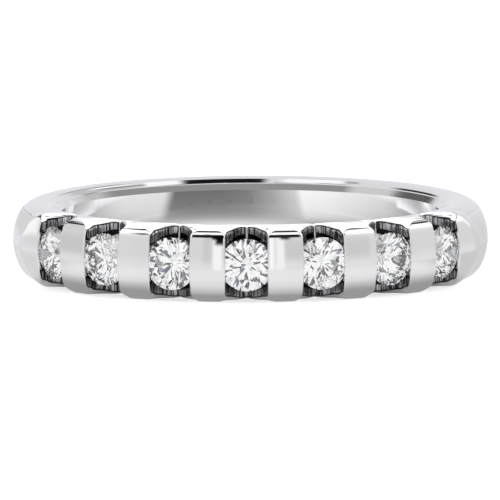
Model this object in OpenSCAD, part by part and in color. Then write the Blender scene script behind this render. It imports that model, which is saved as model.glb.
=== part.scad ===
// Half eternity band: seven round stones held between polished bars.
// The origin is the centre of the finger bore, +Z runs along the bore, and
// the stones face -Y. Angles round the ring count from -Y towards +X.

/* [Finger bore] */
// Radius of the bore
bore_r = 8.45; // [7.6:0.05:10.2]
// Length of the straight bore wall on each side of the middle
bore_half_l = 1.16; // [0.9:0.02:1.24]
// Radial width of the flat bevel beside the bore wall
bevel_w = 0.25; // [0.15:0.01:0.3]
// Radius of the soft inner edge
inner_edge_r = 0.8; // [0.6:0.05:0.9]

/* [Band] */
// Width of the band along the finger
band_w = 3.36; // [3.2:0.02:3.6]
// Wall from the bore to the top of the bars
bar_wall = 2.17; // [2:0.01:2.4]
// Wall from the bore to the outside of the plain shank
shank_wall = 2.15; // [2:0.01:2.4]
// Radius of the crown across a bar
bar_crown_r = 4.6; // [3.6:0.1:6]
// Radius of the shoulder of a bar
bar_edge_r = 0.6; // [0.4:0.02:0.7]
// Radius of the crown across the shank
shank_crown_r = 2.6; // [2.3:0.05:3.2]
// Radius of the shoulder of the shank
shank_edge_r = 0.95; // [0.8:0.01:1]
// Angle from the middle of the row to the end of the last bar
head_half_a = 72; // [68:0.5:78]

/* [Stones] */
// Girdle diameter of a stone
stone_d = 2.33; // [2.1:0.01:2.5]
// Angle between neighbouring stones
pitch_a = 19; // [18.5:0.1:19.5]
// Depth of the girdle plane below the top of the bars
girdle_drop = 0.36; // [0.34:0.01:0.45]
// Table width as a part of the girdle diameter
table_part = 0.57; // [0.53:0.01:0.62]
// Slope of the crown facets
crown_a = 34.5; // [32:0.5:36]
// Slope of the pavilion facets
pavilion_a = 40.8; // [40:0.1:42]
// Height of the girdle
girdle_h = 0.05; // [0.04:0.01:0.08]
// Gap between a stone and its seat
seat_gap = 0.03; // [0.02:0.01:0.05]

/* [Valleys] */
// How far each bar reaches over the girdle
bar_grip = 0.23; // [0.15:0.01:0.28]
// Depth of a valley at its middle, below the top of the bars
valley_depth = 1.46; // [1.3:0.01:1.5]
// Depth below the top of the bars where a valley is at its full width
valley_spring = 0.12; // [0.05:0.01:0.2]

/* [Hidden] */
half_w = band_w / 2;
bar_top_r = bore_r + bar_wall;
shank_top_r = bore_r + shank_wall;
girdle_r = bar_top_r - girdle_drop;
stone_r = stone_d / 2;
table_r = stone_r * table_part;
crown_h = (stone_r - table_r) * tan(crown_a);
pavilion_h = stone_r * tan(pavilion_a);
star_part = 0.55;
lower_part = 0.77;
mains = 8;
half_turn_a = 180 / mains;
table_flat_r = table_r * cos(half_turn_a);
star_r = table_flat_r + star_part * (stone_r - table_flat_r);
lower_r = stone_r * (1 - lower_part);
ridge_a = atan((stone_r - star_r * cos(half_turn_a)) * tan(crown_a) / (stone_r - star_r));
valley_half_w = stone_r - bar_grip;
valley_arch_h = valley_depth - valley_spring;
stones = 7;
middle_n = (stones + 1) / 2;
over = 1;
seam_a = 17;
arc_steps = 6;
ring_steps = 180;
seat_steps = 96;
metal = [0.86, 0.86, 0.88];
gem = [0.85, 0.93, 1];

function arc(centre, r, from, to, steps = arc_steps) =
    [for (i = [0:steps]) centre + r * [
        cos(from + (to - from) * i / steps), sin(from + (to - from) * i / steps)]];

function mirrored(points) = [for (i = [len(points) - 1:-1:0]) [points[i][0], -points[i][1]]];

// Outline from the side face over the shoulder to the middle of the crown.
function outer_half(top_r, crown_r, edge_r) =
    let (rise = half_w - edge_r,
        reach = crown_r - edge_r,
        meet_a = asin(rise / reach),
        edge_centre = [top_r - crown_r + reach * cos(meet_a), rise])
    concat(arc([top_r - crown_r, 0], crown_r, 0, meet_a),
        arc(edge_centre, edge_r, meet_a + (90 - meet_a) / arc_steps, 90));

module section(top_r, crown_r, edge_r) {
    half = outer_half(top_r, crown_r, edge_r);
    inner = bore_r - over / 2;
    polygon(concat([[inner, -half_w]], mirrored(half), [for (i = [1:len(half) - 1]) half[i]],
        [[inner, half_w]]));
}

// A stretch of the band from one angle to another, both measured from -Y.
module stretch(from, to, top_r, crown_r, edge_r) {
    rotate([0, 0, from - 90]) rotate_extrude(angle = to - from, $fn = ring_steps)
        section(top_r, crown_r, edge_r);
}

// The bore, its bevels and soft edges, taken out in one turn.
module finger_space() {
    bevel_top = [bore_r + bevel_w, bore_half_l + bevel_w];
    rise = half_w - inner_edge_r;
    start_a = 180 - asin((bevel_top[1] - rise) / inner_edge_r);
    edge_centre = [bevel_top[0] - inner_edge_r * cos(start_a), rise];
    half = concat([[bore_r, bore_half_l]], arc(edge_centre, inner_edge_r, start_a, 90),
        [[edge_centre[0], half_w + over], [0, half_w + over]]);
    rotate_extrude($fn = ring_steps) polygon(concat(half, mirrored(half)));
}

// A pointed arch in plan, cut along the finger from face to face.
module valley() {
    arch_r = (pow(valley_half_w, 2) + pow(valley_arch_h, 2)) / (2 * valley_half_w);
    tip_a = acos((arch_r - valley_half_w) / arch_r);
    spring_y = -(bar_top_r - valley_spring);
    side = arc([valley_half_w - arch_r, spring_y], arch_r, tip_a, 0);
    linear_extrude(height = band_w + 2 * over, center = true)
        polygon(concat([[valley_half_w, -(bar_top_r + over)]], [for (i = [arc_steps:-1:0]) side[i]],
            [for (i = [1:arc_steps]) [-side[i][0], side[i][1]]],
            [[-valley_half_w, -(bar_top_r + over)]]));
}

// Cones that clear the stone by the seat's gap, the upper one as steep as the ridges between
// its upper halves. The seam of the turn is kept off the valley walls.
module seat() {
    wide = stone_r + seat_gap;
    top_h = girdle_h / 2 + wide * tan(ridge_a);
    tip_h = girdle_h / 2 + wide * tan(pavilion_a);
    rotate([0, 0, seam_a]) rotate_extrude($fn = seat_steps)
        polygon([[0, -tip_h], [wide, -girdle_h / 2], [wide, girdle_h / 2], [0, top_h]]);
}

// Moves a stone or a tool from the middle of the ring to place number n.
module at_place(n) {
    rotate([0, 0, (n - middle_n) * pitch_a]) children();
}

module at_girdle() {
    translate([0, -girdle_r, 0]) rotate([90, 0, 0]) children();
}

function ring_points(r, z, turn, count = mains) =
    [for (i = [0:count - 1]) [
        r * cos(turn + i * 360 / count), r * sin(turn + i * 360 / count), z]];

// A round brilliant: table, stars, kites, upper halves, girdle, lower halves and mains.
module brilliant() {
    table_z = girdle_h / 2 + crown_h;
    star_z = girdle_h / 2 + (stone_r - star_r * cos(half_turn_a)) * tan(crown_a);
    lower_z = -girdle_h / 2 - (stone_r - lower_r * cos(half_turn_a)) * tan(pavilion_a);
    table_i = 0;
    star_i = mains;
    top_i = 2 * mains;
    bottom_i = 4 * mains;
    lower_i = 6 * mains;
    culet_i = 7 * mains;
    points = concat(ring_points(table_r, table_z, 0), ring_points(star_r, star_z, half_turn_a),
        ring_points(stone_r, girdle_h / 2, 0, 2 * mains),
        ring_points(stone_r, -girdle_h / 2, 0, 2 * mains),
        ring_points(lower_r, lower_z, half_turn_a), [[0, 0, -girdle_h / 2 - pavilion_h]]);
    table = [[for (i = [mains - 1:-1:0]) table_i + i]];
    per_main = [for (i = [0:mains - 1]) let (
        next = (i + 1) % mains, last = (i + mains - 1) % mains,
        own = 2 * i, half = 2 * i + 1, after = 2 * next, before = 2 * last + 1)
        each [
            [table_i + i, table_i + next, star_i + i],
            [table_i + i, star_i + i, top_i + own, star_i + last],
            [star_i + i, top_i + half, top_i + own],
            [star_i + i, top_i + after, top_i + half],
            [top_i + own, top_i + half, bottom_i + half, bottom_i + own],
            [top_i + half, top_i + after, bottom_i + after, bottom_i + half],
            [lower_i + i, bottom_i + own, bottom_i + half],
            [lower_i + i, bottom_i + half, bottom_i + after],
            [culet_i, lower_i + last, bottom_i + own, lower_i + i]
        ]];
    polyhedron(points, concat(table, per_main));
}

// The band before its bore: plain shank and bar stretch, less the valleys.
module valley_blank() {
    difference() {
        union() {
            stretch(-head_half_a, head_half_a, bar_top_r, bar_crown_r, bar_edge_r);
            stretch(head_half_a, 360 - head_half_a, shank_top_r, shank_crown_r, shank_edge_r);
        }
        for (n = [1:stones]) at_place(n) valley();
    }
}

module seated_blank() {
    difference() {
        valley_blank();
        for (n = [1:stones]) at_place(n) at_girdle() seat();
    }
}

module band() {
    color(metal) difference() {
        seated_blank();
        finger_space();
    }
}

module stone(n) {
    color(gem) at_place(n) at_girdle() brilliant();
}

band();
stone(1);  // stone_1
stone(2);  // stone_2
stone(3);  // stone_3
stone(4);  // stone_4
stone(5);  // stone_5
stone(6);  // stone_6
stone(7);  // stone_7
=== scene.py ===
import math
import time

import bmesh
import bpy
import numpy as np
from mathutils import Matrix, Vector


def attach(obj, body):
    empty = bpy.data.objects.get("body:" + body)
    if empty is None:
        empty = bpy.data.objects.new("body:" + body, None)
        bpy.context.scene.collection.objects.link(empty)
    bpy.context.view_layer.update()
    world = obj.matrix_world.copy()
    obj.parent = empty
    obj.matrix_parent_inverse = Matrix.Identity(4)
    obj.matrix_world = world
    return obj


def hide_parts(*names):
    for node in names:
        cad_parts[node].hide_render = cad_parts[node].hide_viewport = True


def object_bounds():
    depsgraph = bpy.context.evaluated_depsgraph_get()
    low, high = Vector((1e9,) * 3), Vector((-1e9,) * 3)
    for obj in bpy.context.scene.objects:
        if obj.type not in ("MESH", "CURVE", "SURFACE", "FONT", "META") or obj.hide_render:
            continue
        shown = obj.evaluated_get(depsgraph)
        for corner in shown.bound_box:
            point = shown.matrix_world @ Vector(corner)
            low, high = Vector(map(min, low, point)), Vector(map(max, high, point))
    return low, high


startTime = time.time()
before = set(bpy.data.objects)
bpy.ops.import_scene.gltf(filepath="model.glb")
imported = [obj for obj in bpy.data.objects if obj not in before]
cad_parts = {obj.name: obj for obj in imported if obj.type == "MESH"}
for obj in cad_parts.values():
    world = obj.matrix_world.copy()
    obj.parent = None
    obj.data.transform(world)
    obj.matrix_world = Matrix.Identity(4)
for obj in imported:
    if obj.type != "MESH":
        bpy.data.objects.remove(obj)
cadLow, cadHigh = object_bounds()
mm = 0.001  # the shapes below are worked out in millimetres


def tell(stage):
    print(f"{stage}: {time.time() - startTime:.1f} s")


# The camera stands far off, because the photo shows next to no perspective.
cameraPlan = {
    "azimuth": 1.0,  # degrees, 0 looks along +Y
    "elevation": 6.86,
    "roll": -0.25,
    "distance": 0.8,
    "frameWidth": 500,
    "pixelsPerMm": 22.4,
    "ringCentre": (250.5, 237.5),  # where the middle of the bore falls in the frame
    "sensor": 36.0,
    "clip": (0.1, 10.0),
}


def towardsCamera(plan):
    azimuth, elevation = math.radians(plan["azimuth"]), math.radians(plan["elevation"])
    flat = math.cos(elevation)
    return Vector((math.sin(azimuth) * flat, -math.cos(azimuth) * flat, math.sin(elevation)))


def makeCamera(plan):
    data = bpy.data.cameras.new("ringCamera")
    data.sensor_width = plan["sensor"]
    data.lens = plan["pixelsPerMm"] * plan["distance"] / mm / plan["frameWidth"] * plan["sensor"]
    data.clip_start, data.clip_end = plan["clip"]
    camera = bpy.data.objects.new("ringCamera", data)
    bpy.context.scene.collection.objects.link(camera)
    back = towardsCamera(plan)
    turn = (-back).to_track_quat("-Z", "Y")
    right, up = turn @ Vector((1, 0, 0)), turn @ Vector((0, 1, 0))
    middle = plan["frameWidth"] / 2
    offset = right * (middle - plan["ringCentre"][0]) + up * (plan["ringCentre"][1] - middle)
    camera.location = back * plan["distance"] + offset * (mm / plan["pixelsPerMm"])
    camera.rotation_mode = "QUATERNION"
    camera.rotation_quaternion = turn @ Matrix.Rotation(math.radians(plan["roll"]), 3, "Z").to_quaternion()
    bpy.context.scene.camera = camera


makeCamera(cameraPlan)
tell("camera")


# Small helpers for node trees.
def newMaterial(name):
    material = bpy.data.materials.new(name)
    material.use_nodes = True
    tree = material.node_tree
    shader = next(n for n in tree.nodes if n.type == "BSDF_PRINCIPLED")
    return material, tree, shader


def addNode(tree, kind, **settings):
    node = tree.nodes.new(kind)
    for name, value in settings.items():
        setattr(node, name, value)
    return node


def feed(tree, socket, value):
    if isinstance(value, bpy.types.NodeSocket):
        tree.links.new(value, socket)
    else:
        socket.default_value = value


def mathNode(tree, operation, *values, clamp=False):
    node = addNode(tree, "ShaderNodeMath", operation=operation, use_clamp=clamp)
    for socket, value in zip(node.inputs, values):
        feed(tree, socket, value)
    return node.outputs[0]


def vectorNode(tree, operation, *values):
    node = addNode(tree, "ShaderNodeVectorMath", operation=operation)
    for socket, value in zip(node.inputs, values):
        feed(tree, socket, value)
    return node.outputs["Value"] if operation in ("LENGTH", "DOT_PRODUCT") else node.outputs["Vector"]


def rampNode(tree, value, stops, interpolation="LINEAR"):
    node = addNode(tree, "ShaderNodeValToRGB")
    node.color_ramp.interpolation = interpolation
    feed(tree, node.inputs["Fac"], value)
    elements = node.color_ramp.elements
    while len(elements) < len(stops):
        elements.new(0.5)
    for element, (position, shade) in zip(elements, stops):
        element.position = position
        element.color = (*shade, 1) if isinstance(shade, tuple) else (shade, shade, shade, 1)
    return node.outputs["Color"]


def smoothStep(tree, value, low, high):
    node = addNode(tree, "ShaderNodeMapRange", interpolation_type="SMOOTHSTEP")
    for name, given in (("Value", value), ("From Min", low), ("From Max", high)):
        feed(tree, node.inputs[name], given)
    return node.outputs["Result"]


def mixColour(tree, share, first, second, blend="MIX"):
    node = addNode(tree, "ShaderNodeMix", data_type="RGBA", blend_type=blend)
    feed(tree, node.inputs["Factor"], share)
    feed(tree, node.inputs[6], first)
    feed(tree, node.inputs[7], second)
    return node.outputs[2]


def noiseNode(tree, vector, scale, detail=2.0, roughness=0.5):
    node = addNode(tree, "ShaderNodeTexNoise")
    feed(tree, node.inputs["Vector"], vector)
    node.inputs["Scale"].default_value = scale
    node.inputs["Detail"].default_value = detail
    node.inputs["Roughness"].default_value = roughness
    return node.outputs["Fac"]


# The band as one field in millimetres: negative in the metal, and close to a distance near its surface.
ring = {
    "boreR": 8.45,
    "boreHalf": 1.16,
    "bevelTop": (8.70, 1.41),
    "innerEdge": {"centre": (9.3, 0.88), "radius": 0.8, "end": 138.5},
    "halfWidth": 1.68,
    "bars": {"top": 10.62, "crown": 4.6, "edge": 0.6},
    "shank": {"top": 10.598, "crown": 2.6, "edge": 0.95},
}
fold = {
    "angle": 70.8,  # where the last bar starts to give way to the shank, at this height
    "height": 1.46,
    "normal": (0.69, 0.724),  # of the slanting face between them, along the ring and along the finger
    "softness": 0.8,
    "crease": 0.28,
    "sunk": 0.16,  # the shank's own outline dips by this much under the bars
    "shankFrom": 64.0,
    "shankTo": 70.0,
}
valley = {
    "halfWidth": 0.935,
    "springR": 10.50,
    "arch": 1.34,
    "notch": 0.02,
    "sideLip": 0.09,  # how far the soft lips reach along the bars,
    "floorLip": 0.22,  # at the open ends of the floor
    "cornerLip": 0.50,  # and at the corners between the two
    "corner": (0.18, 0.95),  # distances from the middle of the valley over which the lip grows
    "lipHeight": (1.0, 1.4),  # heights over which the lips widen
    "lipRadius": (10.12, 10.45),  # and radii over which they narrow again
    "workedAndShaded": (0.1, 0.9),  # where across a lip the polish gives way to the worked wall with its painted shade
    "creaseHalf": 0.03,  # the floor's crease catches the light above the stone alone
    "creaseShine": 0.8,
    "seatDepth": 0.0,  # the drilled seats are bright metal, and so is the valley under a stone
    "underStone": (0.95, 1.05),
    "stoneShadow": (1.20, 1.33),  # a painted shadow line follows the stone's edge out to here
    "stoneShadowStrength": 0.6,
}
gem = {
    "count": 7,
    "pitch": 19.0,
    "girdleR": 10.2595,
    "radius": 1.165,
    "girdle": 0.05,
    "mains": 8,
    "table": 0.57,
    "star": 0.55,
    "lower": 0.84,
    "quarterTurn": 0.13,  # how far, in quarter turns, each stone sits turned in its seat
    "crownAngle": 34.5,
    "pavilionAngle": 40.8,
    "sides": 96,
    "seatGap": 0.03,
}
lastPlace = (gem["count"] - 1) // 2
pitch = math.radians(gem["pitch"])


def easeStep(value, low, high):
    t = np.clip((value - low) / (high - low), 0, 1)
    return t * t * (3 - 2 * t)


def smoothMax(a, b, reach):
    near = np.clip(reach - np.abs(a - b), 0, None) / reach
    return np.maximum(a, b) + near * near * reach / 4


def outerField(r, z, part):
    height = np.abs(z)
    rise = ring["halfWidth"] - part["edge"]
    reach = part["crown"] - part["edge"]
    meet = math.asin(rise / reach)
    crownR = part["top"] - part["crown"]
    edgeR = crownR + reach * math.cos(meet)
    onCrown = height * math.cos(meet) < (r - crownR) * math.sin(meet)
    crown = np.hypot(r - crownR, z) - part["crown"]
    edge = np.hypot(r - edgeR, height - rise) - part["edge"]
    return np.where(onCrown, crown, np.where(r < edgeR, height - ring["halfWidth"], edge))


def innerField(r, z):
    height = np.abs(z)
    centreR, centreZ = ring["innerEdge"]["centre"]
    bevelR, bevelZ = ring["bevelTop"]
    angle = np.degrees(np.arctan2(height - centreZ, r - centreR))
    edge = np.hypot(r - centreR, height - centreZ) - ring["innerEdge"]["radius"]
    bevel = (bevelR - r + height - bevelZ) / math.sqrt(2)
    straight = np.maximum(ring["boreR"] - r, bevel)
    onEdge = (angle >= 90) & (angle <= ring["innerEdge"]["end"])
    return np.where(onEdge, edge, np.where(r > centreR, height - ring["halfWidth"], straight))


def foldField(theta, r, z):
    along = r * (np.abs(theta) - math.radians(fold["angle"]))
    return fold["normal"][0] * along + fold["normal"][1] * (np.abs(z) - fold["height"])


def placeAngle(theta):
    return theta - np.clip(np.round(theta / pitch), -lastPlace, lastPlace) * pitch


def valleyField(across, out):
    width, arch = valley["halfWidth"], valley["arch"]
    archR = (width * width + arch * arch) / (2 * width)
    side = np.sqrt(across * across + valley["notch"] ** 2)
    below = np.hypot(side + archR - width, valley["springR"] - out) - archR
    return np.where(out < valley["springR"], below, side - width)


def bodyField(theta, r, z):
    bars = smoothMax(outerField(r, z, ring["bars"]), foldField(theta, r, z), fold["softness"])
    sunk = fold["sunk"] * easeStep(-np.degrees(np.abs(theta)), -fold["shankTo"], -fold["shankFrom"])
    shank = outerField(r, z, ring["shank"]) + sunk
    return np.maximum(-smoothMax(-bars, -shank, fold["crease"]), innerField(r, z))


def openField(theta, r):
    local = placeAngle(theta)
    return valleyField(r * np.sin(local), r * np.cos(local))


def lipReach(theta, r, z):
    across = np.abs(r * np.sin(placeAngle(theta)))
    corner = easeStep(across, *valley["corner"])
    wide = valley["floorLip"] + (valley["cornerLip"] - valley["floorLip"]) * corner
    near, far = valley["lipRadius"]
    share = easeStep(np.abs(z), *valley["lipHeight"]) * easeStep(-r, -far, -near)
    return valley["sideLip"] + (wide - valley["sideLip"]) * share


def bandField(theta, r, z):
    return smoothMax(bodyField(theta, r, z), -openField(theta, r), lipReach(theta, r, z))


def seatSlope():
    radius, half = gem["radius"], math.pi / gem["mains"]
    tableFlat = radius * gem["table"] * math.cos(half)
    starR = tableFlat + gem["star"] * (radius - tableFlat)
    rise = (radius - starR * math.cos(half)) * math.tan(math.radians(gem["crownAngle"]))
    return math.atan2(rise, radius - starR)


def seatField(theta, r, z):
    local = placeAngle(theta)
    out = r * np.cos(local) - gem["girdleR"]
    rho = np.hypot(r * np.sin(local), z)
    wide, half = gem["radius"] + gem["seatGap"], gem["girdle"] / 2
    upper, lower = seatSlope(), math.radians(gem["pavilionAngle"])
    above = (out - half) * math.cos(upper) + (rho - wide) * math.sin(upper)
    below = (-out - half) * math.cos(lower) + (rho - wide) * math.sin(lower)
    return np.maximum(np.maximum(above, below), rho - wide)


# The band's mesh: one closed outline at each angle, closer together at the valleys and their lips.
bandMesh = {
    "valleySteps": ((0, 0.4, 5), (0.4, 4.2, 19), (4.2, 5.0, 13), (5.0, 5.9, 12), (5.9, 9.5, 6)),
    "foldSteps": (66.5, 80.0, 20),
    "shankSteps": 100,
    "boreRows": 2,
    "arcRows": 9,
    "arcEnd": 84.0,
    "arcStep": 0.03,  # least distance between two of those rows
    "sideRows": 5,
    "cornerRows": 16,
    "faceRows": 11,
    "cornerAnchor": (9.87, 1.08),
    "anchorDepth": 0.35,
    "lowestAnchor": 8.80,
    "highestR": 12.0,
    "sideReach": 0.9,  # how far the outline is looked for from its anchor, up and outwards
    "outReach": 2.4,
}


def bandAngles():
    half = np.concatenate([np.linspace(a, b, n, endpoint=False) for a, b, n in bandMesh["valleySteps"]])
    end = bandMesh["valleySteps"][-1][1]
    whole = np.concatenate([-half[1:][::-1], half, [end]])
    angles = [np.array([-lastPlace * gem["pitch"] - end])]
    angles += [whole + n * gem["pitch"] for n in range(-lastPlace, lastPlace + 1)]
    low, high, count = bandMesh["foldSteps"]
    foldAngles = np.linspace(low, high, count + 1)[1:]
    shank = np.linspace(high, 360 - high, bandMesh["shankSteps"] + 1)[1:-1]
    angles += [foldAngles, shank, 360 - foldAngles[::-1]]
    return np.radians(np.concatenate(angles))


def wrapAngle(theta):
    return (theta + math.pi) % (2 * math.pi) - math.pi


def firstExit(theta, startR, startZ, alongR, alongZ, reach, samples=56, halvings=26):
    low = np.zeros(startR.shape)
    high = np.full(startR.shape, reach)
    found = np.zeros(startR.shape, bool)
    for k in range(1, samples + 1):
        t = reach * k / samples
        outside = bandField(theta, startR + alongR * t, startZ + alongZ * t) > 0
        first = outside & ~found
        high[first], low[first] = t, reach * (k - 1) / samples
        found |= outside
    for _ in range(halvings):
        middle = (low + high) / 2
        outside = bandField(theta, startR + alongR * middle, startZ + alongZ * middle) > 0
        high, low = np.where(outside, middle, high), np.where(outside, low, middle)
    return startR + alongR * low, startZ + alongZ * low


def floorRadius(theta, halvings=40):
    low, high = np.full(theta.shape, ring["bevelTop"][0]), np.full(theta.shape, bandMesh["highestR"])
    for _ in range(halvings):
        middle = (low + high) / 2
        inside = openField(theta, middle) < 0
        high, low = np.where(inside, middle, high), np.where(inside, low, middle)
    return low


def bandPoints():
    angles = bandAngles()
    theta = wrapAngle(angles)
    anchorR, anchorZ = bandMesh["cornerAnchor"]
    anchor = np.clip(floorRadius(theta) - bandMesh["anchorDepth"], bandMesh["lowestAnchor"], anchorR)
    bevelR, bevelZ = ring["bevelTop"]
    rows = []
    for k in range(bandMesh["boreRows"] + 1):
        height = ring["boreHalf"] * k / bandMesh["boreRows"]
        rows.append((np.full(theta.shape, ring["boreR"]), np.full(theta.shape, height)))
    rows.append((np.full(theta.shape, bevelR), np.full(theta.shape, bevelZ)))
    flat, level = np.zeros(theta.shape), np.full(theta.shape, anchorZ)
    edge, arcRows, sideRows = ring["innerEdge"], bandMesh["arcRows"], bandMesh["sideRows"]
    first, last = math.radians(180 - edge["end"]), math.radians(bandMesh["arcEnd"])
    radii = []
    for k, angle in enumerate(np.linspace(first, last, arcRows + 1)[1:]):
        most = anchor - bandMesh["arcStep"] * (arcRows - k)
        radii.append(np.minimum(edge["centre"][0] - edge["radius"] * math.cos(angle), most))
    radii += [radii[-1] + (anchor - radii[-1]) * k / sideRows for k in range(1, sideRows + 1)]
    for r in radii:
        rows.append(firstExit(theta, r, level, flat, flat + 1, bandMesh["sideReach"]))
    for k in range(1, bandMesh["cornerRows"] + 1):
        angle = math.pi / 2 * (1 - k / bandMesh["cornerRows"])
        along, up = flat + math.cos(angle), flat + math.sin(angle)
        rows.append(firstExit(theta, anchor, level, along, up, bandMesh["outReach"]))
    for k in range(1, bandMesh["faceRows"] + 1):
        height = level * (1 - k / bandMesh["faceRows"])
        rows.append(firstExit(theta, anchor, height, flat + 1, flat, bandMesh["outReach"]))
    rows += [(r, -z) for r, z in rows[-2:0:-1]]
    r = np.stack([row[0] for row in rows], 1)
    z = np.stack([row[1] for row in rows], 1)
    spread = theta[:, None]
    return np.stack([r * np.sin(spread), -r * np.cos(spread), z], -1)


def gridMesh(name, points):
    columns, rows = points.shape[:2]
    index = np.arange(columns * rows).reshape(columns, rows)
    across = np.roll(index, -1, 0)
    faces = np.stack([index, across, np.roll(across, -1, 1), np.roll(index, -1, 1)], -1)
    mesh = bpy.data.meshes.new(name)
    mesh.from_pydata(points.reshape(-1, 3).tolist(), [], faces.reshape(-1, 4).tolist())
    return mesh


def seatMesh():
    wide, half = gem["radius"] + gem["seatGap"], gem["girdle"] / 2
    top = half + wide * math.tan(seatSlope())
    tip = half + wide * math.tan(math.radians(gem["pavilionAngle"]))
    seats = bmesh.new()
    for n in range(-lastPlace, lastPlace + 1):
        place = Matrix.Rotation(n * pitch, 4, "Z") @ Matrix.Translation((0, -gem["girdleR"], 0))
        place = place @ Matrix.Rotation(math.pi / 2, 4, "X")
        turns = [2 * math.pi * (k + 0.5) / gem["sides"] for k in range(gem["sides"])]
        upper, lower = ([seats.verts.new(place @ Vector((wide * math.cos(a), wide * math.sin(a), h)))
                         for a in turns] for h in (half, -half))
        peak = seats.verts.new(place @ Vector((0, 0, top)))
        low = seats.verts.new(place @ Vector((0, 0, -tip)))
        for k in range(gem["sides"]):
            after = (k + 1) % gem["sides"]
            seats.faces.new((upper[k], upper[after], peak))
            seats.faces.new((lower[after], lower[k], low))
            seats.faces.new((lower[k], lower[after], upper[after], upper[k]))
    mesh = bpy.data.meshes.new("seats")
    seats.to_mesh(mesh)
    seats.free()
    return mesh


def cutSeats(blank, seats):
    blankObject, seatObject = bpy.data.objects.new("blank", blank), bpy.data.objects.new("seats", seats)
    for o in (blankObject, seatObject):
        bpy.context.scene.collection.objects.link(o)
    cut = blankObject.modifiers.new("seats", "BOOLEAN")
    cut.object, cut.operation, cut.solver = seatObject, "DIFFERENCE", "EXACT"
    made = bpy.data.meshes.new_from_object(blankObject.evaluated_get(bpy.context.evaluated_depsgraph_get()))
    for o in (blankObject, seatObject):
        bpy.data.objects.remove(o)
    return made


def slopeOf(points, step=2e-4):
    def whole(p):
        theta = np.arctan2(p[:, 0], -p[:, 1])
        r, z = np.hypot(p[:, 0], p[:, 1]), p[:, 2]
        return np.maximum(bandField(theta, r, z), -seatField(theta, r, z))

    slope = np.empty(points.shape)
    for axis in range(3):
        ahead, behind = points.copy(), points.copy()
        ahead[:, axis] += step
        behind[:, axis] -= step
        slope[:, axis] = whole(ahead) - whole(behind)
    return slope / np.linalg.norm(slope, axis=1, keepdims=True)


# How worked and how shaded the metal is at each point: 0 where it is polished, 1 on the streaked walls with
# their painted shade, and a painted dark shadow line in between.
def valleyDepth(points):
    theta, r, z = np.arctan2(points[:, 0], -points[:, 1]), np.hypot(points[:, 0], points[:, 1]), points[:, 2]
    body, opening = bodyField(theta, r, z), openField(theta, r)
    depth = easeStep((-opening - body) / lipReach(theta, r, z), *valley["workedAndShaded"])
    across = np.abs(r * np.sin(placeAngle(theta)))
    crease = (1 - easeStep(across, valley["creaseHalf"], 2 * valley["creaseHalf"])) * (z > 0)
    depth *= 1 - valley["creaseShine"] * crease
    fromStone = np.hypot(across, z)
    # A painted shadow darkens the valley wall along the stone's edge.
    depth *= 1 - valley["stoneShadowStrength"] * (1 - easeStep(fromStone, *valley["stoneShadow"]))
    under = 1 - easeStep(fromStone, *valley["underStone"])
    depth *= 1 - under * (r * np.cos(placeAngle(theta)) < gem["girdleR"])
    depth[-seatField(theta, r, z) > bandField(theta, r, z)] = valley["seatDepth"]
    return depth


def finishBand(mesh, nudge=0.003, sharpAngle=math.radians(24)):
    # A corner takes the field's own slope a hair inside its face, so creases stay crisp and curves smooth.
    count = len(mesh.vertices)
    points = np.empty(count * 3)
    mesh.vertices.foreach_get("co", points)
    points = points.reshape(-1, 3)
    loops = np.empty(len(mesh.loops), int)
    mesh.loops.foreach_get("vertex_index", loops)
    centres, sizes = np.empty(len(mesh.polygons) * 3), np.empty(len(mesh.polygons), int)
    mesh.polygons.foreach_get("center", centres)
    mesh.polygons.foreach_get("loop_total", sizes)
    inwards = np.repeat(centres.reshape(-1, 3), sizes, 0) - points[loops]
    inwards *= nudge / np.maximum(np.linalg.norm(inwards, axis=1, keepdims=True), nudge)
    corners = points[loops] + inwards
    slopes, depth = slopeOf(corners), valleyDepth(corners)
    mesh.attributes.new("valley", "FLOAT", "CORNER").data.foreach_set("value", depth.astype(np.float32))
    mesh.vertices.foreach_set("co", (points * mm).ravel())
    mesh.polygons.foreach_set("use_smooth", np.ones(len(mesh.polygons), bool))
    mesh.update()
    mesh.set_sharp_from_angle(angle=sharpAngle)
    mesh.normals_split_custom_set(slopes.tolist())
    mesh.update()


def addPiece(name, mesh, material):
    piece = bpy.data.objects.new(name, mesh)
    bpy.context.scene.collection.objects.link(piece)
    mesh.materials.clear()
    mesh.materials.append(material)
    return piece


metalLook = {
    "colour": (0.86, 0.86, 0.868),
    "shade": (0.80, 0.80, 0.812),
    "roughness": (0.035, 0.075),
    "waveScale": 700.0,
    "waveStretch": (1.0, 1.0, 0.10),
    "waveHeight": 0.000004,
    # The valley walls are worked, streaked metal darkened with painted shade.
    "valleyColour": (0.72, 0.72, 0.74),
    "valleyPaintedShade": (0.04, 0.04, 0.045),
    # A painted dark shadow line along the valley rims.
    "valleyRimShadow": (0.015, 0.015, 0.018),
    "valleyRoughness": 0.30,
    "workedEdge": (0.1, 0.35),  # depths over which the polish ends
    "rimShadowEdge": (0.45, 0.85),  # and over which its painted dark rim shadow ends
    "streakScale": 14000.0,
    "streakStretch": (1.0, 1.0, 0.06),
    "streakDetail": (3.0, 0.6),
    "streakEdge": (0.42, 0.62),
    "streakHeight": 0.00002,
}


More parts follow.
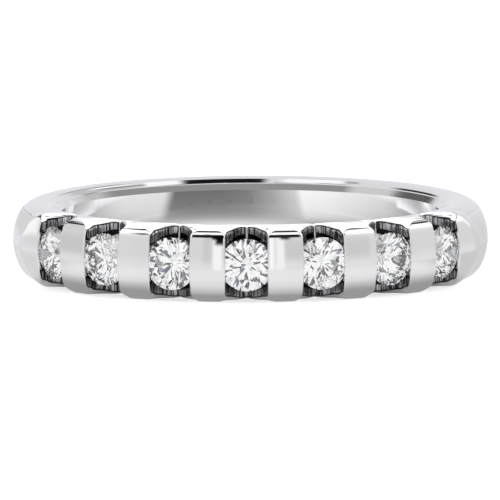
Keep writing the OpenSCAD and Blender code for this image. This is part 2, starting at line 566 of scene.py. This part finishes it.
def makeMetal(look):
    material, tree, shader = newMaterial("polishedWhiteMetal")
    place = addNode(tree, "ShaderNodeTexCoord").outputs["Object"]
    depth = addNode(tree, "ShaderNodeAttribute", attribute_name="valley").outputs["Fac"]
    wave = noiseNode(tree, vectorNode(tree, "MULTIPLY", place, look["waveStretch"]), look["waveScale"])
    streak = vectorNode(tree, "MULTIPLY", place, look["streakStretch"])
    streak = noiseNode(tree, streak, look["streakScale"], *look["streakDetail"])
    polished = mixColour(tree, wave, (*look["shade"], 1), (*look["colour"], 1))
    # The valley walls: worked streaks darkened with painted shade, and a painted dark shadow line at their
    # rims.
    workedAndShaded = mixColour(tree, smoothStep(tree, streak, *look["streakEdge"]), (*look["valleyPaintedShade"], 1),
                       (*look["valleyColour"], 1))
    workedAndShaded = mixColour(tree, smoothStep(tree, depth, *look["rimShadowEdge"]), (*look["valleyRimShadow"], 1), workedAndShaded)
    metal = mixColour(tree, smoothStep(tree, depth, *look["workedEdge"]), polished, workedAndShaded)
    feed(tree, shader.inputs["Base Color"], metal)
    shader.inputs["Metallic"].default_value = 1.0
    low, high = look["roughness"]
    smooth = mathNode(tree, "MULTIPLY_ADD", wave, high - low, low)
    rough = mathNode(tree, "MULTIPLY", depth, look["valleyRoughness"])
    feed(tree, shader.inputs["Roughness"], mathNode(tree, "ADD", smooth, rough))
    waves = mathNode(tree, "MULTIPLY", wave, look["waveHeight"])
    streaks = mathNode(tree, "MULTIPLY", mathNode(tree, "MULTIPLY", streak, depth), look["streakHeight"])
    bump = addNode(tree, "ShaderNodeBump")
    bump.inputs["Distance"].default_value = 1.0
    feed(tree, bump.inputs["Height"], mathNode(tree, "ADD", waves, streaks))
    feed(tree, shader.inputs["Normal"], bump.outputs["Normal"])
    return material


blankBand = gridMesh("blankBand", bandPoints())
tell("band blank")
bandData = cutSeats(blankBand, seatMesh())
tell("stone seats")
finishBand(bandData)
band = addPiece("polished_band", bandData, makeMetal(metalLook))
tell(f"band, {len(bandData.polygons)} faces")


# One stone, cut plane by plane from a round blank as a cutter would, in millimetres.
def facetPlanes():
    radius, half = gem["radius"], math.pi / gem["mains"]
    girdle = gem["girdle"] / 2
    crown, pavilion = (math.radians(gem[name]) for name in ("crownAngle", "pavilionAngle"))
    tableR = radius * gem["table"]
    tableZ = girdle + (radius - tableR) * math.tan(crown)
    tableFlat = tableR * math.cos(half)
    starR = tableFlat + gem["star"] * (radius - tableFlat)
    starZ = girdle + (radius - starR * math.cos(half)) * math.tan(crown)
    lowerR = radius * (1 - gem["lower"])
    lowerZ = -girdle - (radius - lowerR * math.cos(half)) * math.tan(pavilion)

    def at(r, z, turn):
        return Vector((r * math.cos(turn), r * math.sin(turn), z))

    def through(a, b, c):
        normal = (b - a).cross(c - a).normalized()
        return a, normal if normal.dot(a) > 0 else -normal

    planes = [(Vector((0, 0, tableZ)), Vector((0, 0, 1)))]
    for k in range(gem["mains"]):
        main = k * 2 * half
        planes.append((at(radius, girdle, main), at(math.sin(crown), math.cos(crown), main)))
        planes.append((at(radius, -girdle, main), at(math.sin(pavilion), -math.cos(pavilion), main)))
        planes.append(through(at(tableR, tableZ, main), at(tableR, tableZ, main + 2 * half),
                              at(starR, starZ, main + half)))
        for side in (-half, half):
            corner, tip = at(radius, girdle, main), at(radius, girdle, main + side)
            planes.append(through(corner, tip, at(starR, starZ, main + side)))
            corner, tip = at(radius, -girdle, main), at(radius, -girdle, main + side)
            planes.append(through(corner, tip, at(lowerR, lowerZ, main + side)))
    return planes


def cutStone(tightest=1e-6, weld=1e-5):
    blank = bmesh.new()
    radius = gem["radius"]
    bmesh.ops.create_cone(blank, cap_ends=True, segments=gem["sides"], radius1=radius, radius2=radius,
                          depth=4 * radius)
    for point, normal in facetPlanes():
        cut = bmesh.ops.bisect_plane(blank, geom=blank.verts[:] + blank.edges[:] + blank.faces[:],
                                     plane_co=point, plane_no=normal, clear_outer=True, dist=tightest)
        rim = [e for e in cut["geom_cut"] if isinstance(e, bmesh.types.BMEdge)]
        if rim:
            bmesh.ops.contextual_create(blank, geom=rim)
    bmesh.ops.remove_doubles(blank, verts=blank.verts[:], dist=weld)
    bmesh.ops.recalc_face_normals(blank, faces=blank.faces[:])
    for v in blank.verts:
        v.co *= mm
    mesh = bpy.data.meshes.new("cutStone")
    blank.to_mesh(mesh)
    blank.free()
    return mesh


def placingTree():
    tree = bpy.data.node_groups.new("placeOnRow", "GeometryNodeTree")
    face = tree.interface
    face.new_socket(name="Stone", in_out="INPUT", socket_type="NodeSocketGeometry")
    for name in ("Place", "Pitch", "Girdle Radius", "Seat Turn"):
        face.new_socket(name=name, in_out="INPUT", socket_type="NodeSocketFloat")
    face.new_socket(name="Finish", in_out="INPUT", socket_type="NodeSocketMaterial")
    face.new_socket(name="Stone", in_out="OUTPUT", socket_type="NodeSocketGeometry")
    given, made = tree.nodes.new("NodeGroupInput"), tree.nodes.new("NodeGroupOutput")
    settle, stand, swing = (tree.nodes.new("GeometryNodeTransform") for _ in range(3))
    inwards = addNode(tree, "ShaderNodeMath", operation="MULTIPLY")
    inwards.inputs[1].default_value = -1.0
    spin, out, turn = (tree.nodes.new("ShaderNodeCombineXYZ") for _ in range(3))
    angle = addNode(tree, "ShaderNodeMath", operation="MULTIPLY")
    stand.inputs["Rotation"].default_value = (math.pi / 2, 0, 0)
    realize = tree.nodes.new("GeometryNodeRealizeInstances")
    finish = tree.nodes.new("GeometryNodeSetMaterial")
    for source, target in (
            (given.outputs["Seat Turn"], spin.inputs["Z"]),
            (spin.outputs[0], settle.inputs["Rotation"]),
            (given.outputs["Girdle Radius"], inwards.inputs[0]),
            (inwards.outputs[0], out.inputs["Y"]),
            (out.outputs[0], stand.inputs["Translation"]),
            (given.outputs["Place"], angle.inputs[0]),
            (given.outputs["Pitch"], angle.inputs[1]),
            (angle.outputs[0], turn.inputs["Z"]),
            (turn.outputs[0], swing.inputs["Rotation"]),
            (given.outputs["Stone"], settle.inputs["Geometry"]),
            (settle.outputs[0], stand.inputs["Geometry"]),
            (stand.outputs[0], swing.inputs["Geometry"]),
            (swing.outputs[0], realize.inputs["Geometry"]),
            (realize.outputs[0], finish.inputs["Geometry"]),
            (given.outputs["Finish"], finish.inputs["Material"]),
            (finish.outputs[0], made.inputs["Stone"])):
        tree.links.new(source, target)
    return tree


def placeStone(mesh, tree, number, material):
    holder = bpy.data.objects.new("holder", mesh)
    bpy.context.scene.collection.objects.link(holder)
    modifier = holder.modifiers.new("placeOnRow", "NODES")
    modifier.node_group = tree
    sockets = {item.name: item.identifier for item in tree.interface.items_tree if item.in_out == "INPUT"}
    modifier[sockets["Place"]] = float(number - 1 - lastPlace)
    modifier[sockets["Pitch"]] = pitch
    modifier[sockets["Girdle Radius"]] = gem["girdleR"] * mm
    modifier[sockets["Seat Turn"]] = gem["quarterTurn"] * math.pi / 2
    modifier[sockets["Finish"]] = material
    placed = bpy.data.meshes.new_from_object(holder.evaluated_get(bpy.context.evaluated_depsgraph_get()))
    holder.modifiers.remove(modifier)
    bpy.data.objects.remove(holder)
    placed.name = f"brilliant_{number}"
    return addPiece(f"brilliant_{number}", placed, material)


diamondLook = {
    "colour": (1.0, 1.0, 1.0),
    "tint": (0.975, 0.985, 1.0),
    "ior": 2.417,
    "cloudScale": 2500.0,
}


def makeDiamond(look):
    material, tree, shader = newMaterial("clearDiamond")
    place = addNode(tree, "ShaderNodeTexCoord").outputs["Object"]
    cloud = noiseNode(tree, place, look["cloudScale"])
    feed(tree, shader.inputs["Base Color"], mixColour(tree, cloud, (*look["tint"], 1), (*look["colour"], 1)))
    shader.inputs["Roughness"].default_value = 0.0
    shader.inputs["IOR"].default_value = look["ior"]
    shader.inputs["Transmission Weight"].default_value = 1.0
    return material


diamond = makeDiamond(diamondLook)
stoneMesh, rowTree = cutStone(), placingTree()
stones = [placeStone(stoneMesh, rowTree, n, diamond) for n in range(1, gem["count"] + 1)]
tell(f"stones, {len(stoneMesh.polygons)} facets each")

# The floor is white to the eye. In the metal it shows as a greyer card that glows with painted shades: a
# painted contact shadow inside and under the ring, lighter further out.
floorPlan = {
    "size": 1.5,
    "below": 0.000002,
    "body": 0.80,
    "glow": 0.62,
    "reach": 60.0,  # mm from the middle that the card's shades span
    # The card's glowing painted shades by distance from the middle, with a painted contact shadow at the
    # ring.
    "card": ((0, 0.16), (8.9, 0.16), (9.6, 0.37), (10.6, 0.38), (11.1, 0.60), (11.8, 0.86), (13, 0.95),
             (18, 0.95), (28, 0.89), (60, 0.85)),
    "cardEnd": (15.0, 20.0),  # past it the metal mirrors the room, not the floor
    "underRing": (8.9, 9.6),  # where the card's outer shades begin, past the painted shadow under the ring
    "spread": 0.5,  # how much wider, in mm, its painted dark middle is towards the ends of the row
    "spreadTurn": (12.0, 30.0),
    # Painted shades that the card glows with beside the ring, left and right.
    "sideCard": {"left": 0.79, "right": 0.70},
    "sideTurn": (58.0, 76.0),
    "grainScale": 300.0,
    "grain": 0.02,
    "roughness": 0.9,
}


def makeFloor(plan):
    material, tree, shader = newMaterial("paleFloor")
    place = addNode(tree, "ShaderNodeTexCoord").outputs["Object"]
    seen = addNode(tree, "ShaderNodeLightPath").outputs["Is Camera Ray"]
    away = mathNode(tree, "DIVIDE", vectorNode(tree, "LENGTH", place), mm)
    parts = addNode(tree, "ShaderNodeSeparateXYZ")
    feed(tree, parts.inputs[0], place)
    turn = mathNode(tree, "ARCTAN2", parts.outputs["X"], mathNode(tree, "MULTIPLY", parts.outputs["Y"], -1.0))
    turn = mathNode(tree, "MULTIPLY", mathNode(tree, "ABSOLUTE", turn), math.degrees(1))
    outside = smoothStep(tree, away, *plan["underRing"])
    beside = mathNode(tree, "MULTIPLY", smoothStep(tree, turn, *plan["sideTurn"]), outside)
    spread = mathNode(tree, "MULTIPLY", smoothStep(tree, turn, *plan["spreadTurn"]), plan["spread"])
    near = smoothStep(tree, away, plan["cardEnd"][1], plan["cardEnd"][0])
    feed(tree, shader.inputs["Alpha"], mathNode(tree, "MAXIMUM", near, seen))
    away = mathNode(tree, "SUBTRACT", away, mathNode(tree, "MULTIPLY", spread, outside))
    away = mathNode(tree, "DIVIDE", away, plan["reach"])
    stops = [(radius / plan["reach"], shade) for radius, shade in plan["card"]]
    onRight = mathNode(tree, "GREATER_THAN", parts.outputs["X"], 0.0)
    side = mixColour(tree, onRight, *((*[plan["sideCard"][hand]] * 3, 1) for hand in ("left", "right")))
    # The card glows with painted shades in the metal: the painted contact shadow and the side shades.
    card = mixColour(tree, beside, rampNode(tree, away, stops), side)
    grain = noiseNode(tree, place, plan["grainScale"])
    grain = mathNode(tree, "MULTIPLY_ADD", grain, plan["grain"], 1 - plan["grain"])
    card = mixColour(tree, 1.0, card, grain, "MULTIPLY")
    feed(tree, shader.inputs["Base Color"], mixColour(tree, seen, (0, 0, 0, 1), (*[plan["body"]] * 3, 1)))
    feed(tree, shader.inputs["Emission Color"], mixColour(tree, seen, card, (*[plan["glow"]] * 3, 1)))
    shader.inputs["Emission Strength"].default_value = 1.0
    shader.inputs["Roughness"].default_value = plan["roughness"]
    shader.inputs["Specular IOR Level"].default_value = 0.0
    size = plan["size"]
    mesh = bpy.data.meshes.new("floor")
    corners = [(-size, -size, 0), (size, -size, 0), (size, size, 0), (-size, size, 0)]
    mesh.from_pydata(corners, [], [(0, 1, 2, 3)])
    floor = addPiece("floor", mesh, material)
    floor.location.z = cadLow.z - plan["below"]


makeFloor(floorPlan)

# The studio is laid out by the direction half-way between a ray and the fixed front view, which is how a
# ring mirrors a room: turn is the angle round the ring, rise the angle up from level, both in degrees.
studio = {
    "wall": 0.80,
    "horizon": 0.88,
    "horizonRise": (-1.0, 6.0),
    "high": 1.32,
    "wallTop": (13.0, 22.0),
    "edgeRise": (45.9, 46.9),
    "edge": 0.83,
    "topRise": (65.0, 68.0),
    "leftSide": (0.84, 0.832, 0.868),
    "rightSide": (0.735, 0.735, 0.737),
    "sideRise": (8.0, 44.0),
    "sideTurn": (66.0, 74.0),
    "tent": 1.08,  # the bright tent with dark breaks that only the stones show
    "breakScale": 14.0,
    "breakEdge": (0.44, 0.46),
    "breakTintScale": 7.0,
    "breakTintEdge": (0.5, 0.6),
    "breakColours": ((0.02, 0.02, 0.02), (0.12, 0.14, 0.28)),
}
# Flags and strips in that room, each with the turns and rises it spans and how soft its edges are. A later
# one lies over those before it.
cards = (
    {"name": "leftFlag", "turn": (-55, -42), "rise": (3, 14), "soft": (3, 3), "shade": 0.68},
    {"name": "middleFlag", "turn": (-10.4, -8.6), "rise": (2, 30), "soft": (0.5, 3), "shade": 0.71},
    {"name": "leftStrip", "turn": (-8.0, -6.0), "rise": (-4, 30), "soft": (0.4, 1), "shade": 1.1},
    {"name": "thinStrip", "turn": (5.0, 6.7), "rise": (-4, 30), "soft": (0.4, 5), "shade": 1.12},
    {"name": "rightStrip", "turn": (7.3, 9.2), "rise": (-4, 30), "soft": (0.5, 5), "shade": 1.06},
    {"name": "rightFlag", "turn": (9.4, 31), "rise": (4, 14), "soft": (0.6, 3), "shade": 0.70},
    {"name": "leftBlank", "turn": (-95, -41), "rise": (14, 41), "soft": (3, 3), "shade": 0.74},
    {"name": "foldStrip", "turn": (-73, -63), "rise": (9.5, 36), "soft": (3, 2.5), "shade": 1.12},
    {"name": "lowerLine", "turn": (-13.6, 13.6), "rise": (15.9, 26.6), "soft": (0.5, 0.9), "shade": 0.01},
    {"name": "lowerLineLeft", "turn": (-28.5, -24), "rise": (17, 24), "soft": (2.5, 1.2), "shade": 0.08},
    {"name": "dropWide", "turn": (-8.4, -4.3), "rise": (14.4, 18), "soft": (0.5, 0.8), "shade": 0.0},
    {"name": "dropTip", "turn": (-7.5, -5.3), "rise": (11.9, 17), "soft": (0.5, 1.2), "shade": 0.0},
    {"name": "smallDrop", "turn": (8.3, 10.6), "rise": (14.4, 18), "soft": (0.6, 0.8), "shade": 0.03},
    {"name": "edgeFillLeft", "turn": (38, 66), "rise": (46.4, 67), "soft": (4, 1), "shade": 0.62},
    {"name": "edgeLineLeft", "turn": (41, 72), "rise": (66, 69.5), "soft": (4, 1), "shade": 0.33},
    {"name": "edgeStreakLeft", "turn": (37, 54), "rise": (57.5, 62), "soft": (3, 1), "shade": 1.2},
    {"name": "edgeGreyLeft", "turn": (30, 50), "rise": (50, 56), "soft": (4, 1.5), "shade": 0.33},
    {"name": "edgeWhiteLeft", "turn": (19, 33), "rise": (46.4, 65), "soft": (1, 1.2), "shade": 1.15},
    {"name": "edgeWhite", "turn": (-27, -8.5), "rise": (46.4, 65), "soft": (2, 1.2), "shade": 1.15},
    {"name": "edgeStreak", "turn": (-32, -27.5), "rise": (53, 63), "soft": (1, 1.5), "shade": 0.45},
    {"name": "upperLine", "turn": (-62, 60), "rise": (37.3, 46.3), "soft": (2.5, 0.6), "shade": 0.01},
    {"name": "edgeBlack", "turn": (-3.4, 21), "rise": (40, 65), "soft": (1.8, 1), "shade": 0.01},
    {"name": "edgeWedgeRight", "turn": (-28.5, -19), "rise": (41, 48.5), "soft": (3, 1.2), "shade": 0.06},
    {"name": "edgeDarkRight", "turn": (-70, -47), "rise": (40, 54), "soft": (4, 1.5), "shade": 0.03},
    {"name": "bevel", "turn": (-90, 90), "rise": (44.3, 45.7), "soft": (1, 0.2), "shade": 0.33},
    {"name": "bevelDark", "turn": (-75, -50), "rise": (44.3, 45.7), "soft": (4, 0.2), "shade": 0.13},
    {"name": "bevelLight", "turn": (-47, -30), "rise": (44.3, 45.7), "soft": (3, 0.2), "shade": 0.72},
    {"name": "bevelLightLeft", "turn": (50, 90), "rise": (44.3, 45.7), "soft": (5, 0.2), "shade": 0.66},
)
# Soft boxes close to the ring, which only the polished metal shows. Sizes in mm. A box's light ends between
# two distances from its fade's centre, measured along the axes that count.
softBoxes = (
    {"name": "overhead", "centre": (0, -2.3, 14), "size": (28, 17.8), "facing": (0, 0, -1), "shade": 1.2,
     "fade": {"centre": (0, 7.85, 14), "axes": (1, 1, 1), "from": 18.7, "to": 19.1}},
    {"name": "overHollow", "centre": (0, -2.7, 3.2), "size": (18.6, 12.6), "facing": (0, 0, -1), "shade": 0.5,
     "fade": {"centre": (0, 0, 0), "axes": (1, 0, 0), "from": 6.5, "to": 9.3}},
)
# A ring of strip lights lines the back of the hollow and faces the bore. Its light is graded round and up:
# a dark middle stands between two bright sides, whose edges lean.
boreStrips = {
    "radius": 8.36,
    "from": -81.0,
    "to": 81.0,
    "count": 18,
    "low": -0.55,
    "high": 1.17,
    "spread": 166.0,  # a grid on each strip cuts its light off past half of this from straight ahead
    "liftTo": 76.0,
    "shade": 1.02,
    "middle": ((-0.6, 0.95), (-0.44, 0.74), (-0.28, 0.54), (-0.12, 0.32), (0.03, 0.21), (0.25, 0.13),
               (1.1, 0.06)),
    "sides": ((-81, 0.3), (-66, 0.36), (-58, 0.42), (-50, 0.62), (-42, 0.77), (-30, 0.75), (15, 0.96),
              (24, 0.9), (36, 0.77), (44, 0.67), (51, 0.46), (60, 0.24), (81, 0.2)),
    "heights": ((-0.5, 0.0), (-0.3, 0.4), (0.0, 0.72), (0.4, 0.9), (1.0, 1.0)),
    "leftEdge": (24.0, 28.5),
    "rightEdge": ((-10, 0.0), (-2, 0.06), (6, 0.3), (12.6, 0.62), (14.6, 1.0)),
    "edgeHeight": 1.0,  # the edges stand at these turns here, and lean by so many degrees for each mm below
    "leftLean": 2.0,
    "rightLean": 1.5,
}
# The front half of the hollow has plainer ones, which are seen from behind, graded across and up.
frontStrips = {
    "radius": 8.36,
    "from": 81.0,
    "to": 279.0,
    "count": 12,
    "low": -0.55,
    "high": 1.17,
    "shade": 0.8,
    "across": ((-8.4, 0.45), (-7.6, 0.8), (-4.5, 0.7), (-1.5, 0.25), (1.5, 0.25), (3.0, 0.8), (7.6, 0.6),
               (8.4, 0.35)),
    "heights": ((-0.5, 0.1), (0.0, 0.7), (1.0, 1.0)),
}


def softPatch(tree, base, turn, rise, patch):
    share = None
    for value, (low, high), soft in zip((turn, rise), (patch["turn"], patch["rise"]), patch["soft"]):
        inside = mathNode(tree, "SUBTRACT", smoothStep(tree, value, low - soft, low + soft),
                          smoothStep(tree, value, high - soft, high + soft))
        share = inside if share is None else mathNode(tree, "MULTIPLY", share, inside)
    return mixColour(tree, share, base, (*[patch["shade"]] * 3, 1))


def sideRooms(tree, room, turn, rise, plan):
    share = smoothStep(tree, mathNode(tree, "ABSOLUTE", turn), *plan["sideTurn"])
    left = (*plan["leftSide"], 1)
    right = mixColour(tree, smoothStep(tree, rise, *plan["sideRise"]), (*plan["rightSide"], 1), left)
    side = mixColour(tree, mathNode(tree, "GREATER_THAN", turn, 0.0), left, right)
    top = smoothStep(tree, rise, *plan["topRise"])
    return mixColour(tree, mathNode(tree, "MAXIMUM", share, top), room, side)


def makeStudio(plan):
    world = bpy.data.worlds.new("softStudio")
    world.use_nodes = True
    bpy.context.scene.world = world
    tree = world.node_tree
    sky = next(n for n in tree.nodes if n.type == "BACKGROUND")
    ray = addNode(tree, "ShaderNodeTexCoord").outputs["Generated"]
    halfWay = vectorNode(tree, "NORMALIZE", vectorNode(tree, "ADD", ray, tuple(towardsCamera(cameraPlan))))
    parts = addNode(tree, "ShaderNodeSeparateXYZ")
    feed(tree, parts.inputs[0], halfWay)
    rise = mathNode(tree, "MULTIPLY", mathNode(tree, "ARCSINE", parts.outputs["Z"]), math.degrees(1))
    turn = mathNode(tree, "ARCTAN2", parts.outputs["X"], mathNode(tree, "MULTIPLY", parts.outputs["Y"], -1.0))
    turn = mathNode(tree, "MULTIPLY", turn, math.degrees(1))
    low = mixColour(tree, smoothStep(tree, rise, *plan["horizonRise"]), (*[plan["horizon"]] * 3, 1),
                    (*[plan["wall"]] * 3, 1))
    room = mixColour(tree, smoothStep(tree, rise, *plan["wallTop"]), low, (*[plan["high"]] * 3, 1))
    room = mixColour(tree, smoothStep(tree, rise, *plan["edgeRise"]), room, (*[plan["edge"]] * 3, 1))
    room = sideRooms(tree, room, turn, rise, plan)
    for card in cards:
        room = softPatch(tree, room, turn, rise, card)
    through = addNode(tree, "ShaderNodeLightPath").outputs["Is Transmission Ray"]
    breaks = noiseNode(tree, ray, plan["breakScale"])
    tint = smoothStep(tree, noiseNode(tree, ray, plan["breakTintScale"]), *plan["breakTintEdge"])
    tint = mixColour(tree, tint, *((*shade, 1) for shade in plan["breakColours"]))
    inside = mixColour(tree, smoothStep(tree, breaks, *plan["breakEdge"]), tint, (*[plan["tent"]] * 3, 1))
    feed(tree, sky.inputs["Color"], mixColour(tree, through, room, inside))


def addSoftBox(plan):
    data = bpy.data.lights.new(plan["name"], "AREA")
    data.shape = "RECTANGLE"
    data.size, data.size_y = (side * mm for side in plan["size"])
    data.energy = plan["shade"] * math.pi * data.size * data.size_y
    box = bpy.data.objects.new(plan["name"], data)
    bpy.context.scene.collection.objects.link(box)
    box.location = Vector(plan["centre"]) * mm
    box.rotation_mode = "QUATERNION"
    box.rotation_quaternion = Vector(plan["facing"]).to_track_quat("-Z", "Y")
    box.visible_camera = box.visible_diffuse = box.visible_transmission = False
    if "fade" in plan:
        data.use_nodes = True
        tree = data.node_tree
        glow = next(n for n in tree.nodes if n.type == "EMISSION")
        fade = plan["fade"]
        place = addNode(tree, "ShaderNodeNewGeometry").outputs["Position"]
        place = vectorNode(tree, "SUBTRACT", place, tuple(Vector(fade["centre"]) * mm))
        away = vectorNode(tree, "LENGTH", vectorNode(tree, "MULTIPLY", place, fade["axes"]))
        feed(tree, glow.inputs["Strength"], smoothStep(tree, away, fade["to"] * mm, fade["from"] * mm))
    return data


def gradedBy(tree, value, stops):
    first, last = stops[0][0], stops[-1][0]
    share = mathNode(tree, "DIVIDE", mathNode(tree, "SUBTRACT", value, first), last - first)
    return rampNode(tree, share, [((at - first) / (last - first), shade) for at, shade in stops])


def gradeStrip(tree, plan, stripTurn):
    glow = next(n for n in tree.nodes if n.type == "EMISSION")
    place = addNode(tree, "ShaderNodeNewGeometry").outputs["Position"]
    place = vectorNode(tree, "DIVIDE", place, (mm, mm, mm))
    parts = addNode(tree, "ShaderNodeSeparateXYZ")
    feed(tree, parts.inputs[0], place)
    height = parts.outputs["Z"]
    heights = gradedBy(tree, height, plan["heights"])
    if "across" in plan:
        across = gradedBy(tree, parts.outputs["X"], plan["across"])
        feed(tree, glow.inputs["Color"], mixColour(tree, 1.0, across, heights, "MULTIPLY"))
        return
    turn = mathNode(tree, "ARCTAN2", parts.outputs["X"], parts.outputs["Y"])
    turn = mathNode(tree, "MULTIPLY", turn, math.degrees(1))
    sides = mixColour(tree, 1.0, gradedBy(tree, turn, plan["sides"]), heights, "MULTIPLY")
    below = mathNode(tree, "SUBTRACT", height, plan["edgeHeight"])
    leaning = mathNode(tree, "MULTIPLY_ADD", below, plan["leftLean"], mathNode(tree, "MULTIPLY", turn, -1.0))
    left = smoothStep(tree, leaning, *plan["leftEdge"])
    right = gradedBy(tree, mathNode(tree, "MULTIPLY_ADD", below, plan["rightLean"], turn), plan["rightEdge"])
    share = mathNode(tree, "MAXIMUM", left, right)
    feed(tree, glow.inputs["Color"], mixColour(tree, share, gradedBy(tree, height, plan["middle"]), sides))
    # Light that the wall sends level to the front leaves a strip at this slant, where its grid takes some
    # off, so the strip is lifted by as much.
    half = math.radians(plan["spread"] / 2)
    bent = mathNode(tree, "ABSOLUTE", mathNode(tree, "MULTIPLY_ADD", turn, 2.0, -stripTurn))
    bent = mathNode(tree, "MINIMUM", bent, plan["liftTo"])
    slope = mathNode(tree, "TANGENT", mathNode(tree, "MULTIPLY", bent, math.radians(1)))
    kept = mathNode(tree, "SUBTRACT", math.tan(half), slope)
    feed(tree, glow.inputs["Strength"], mathNode(tree, "DIVIDE", math.tan(half) - half, kept))


def addBoreStrips(plan, name):
    step = math.radians(plan["to"] - plan["from"]) / plan["count"]
    width = 2 * plan["radius"] * math.sin(step / 2)
    for k in range(plan["count"]):
        turn = math.radians(plan["from"]) + step * (k + 0.5)
        away = plan["radius"] * math.cos(step / 2)
        facing = (math.sin(turn), math.cos(turn), 0)
        centre = (facing[0] * away, facing[1] * away, (plan["low"] + plan["high"]) / 2)
        strip = addSoftBox({"name": f"{name}{k + 1}", "centre": centre, "facing": facing,
                            "shade": plan["shade"], "size": (width, plan["high"] - plan["low"])})
        strip.spread = math.radians(plan.get("spread", 180.0))
        strip.use_nodes = True
        gradeStrip(strip.node_tree, plan, math.degrees(turn))


makeStudio(studio)
for box in softBoxes:
    addSoftBox(box)
addBoreStrips(boreStrips, "boreStrip")
addBoreStrips(frontStrips, "frontStrip")

bounces = {"most": 24, "stone": 24, "metal": 10}
scene = bpy.context.scene
scene.view_settings.view_transform = "Standard"
scene.cycles.max_bounces = bounces["most"]
scene.cycles.transmission_bounces = bounces["stone"]
scene.cycles.glossy_bounces = bounces["metal"]
tell("studio")

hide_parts("band")
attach(band, "root")
for number, piece in enumerate(stones, 1):
    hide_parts(f"stone_{number}")
    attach(piece, "root")
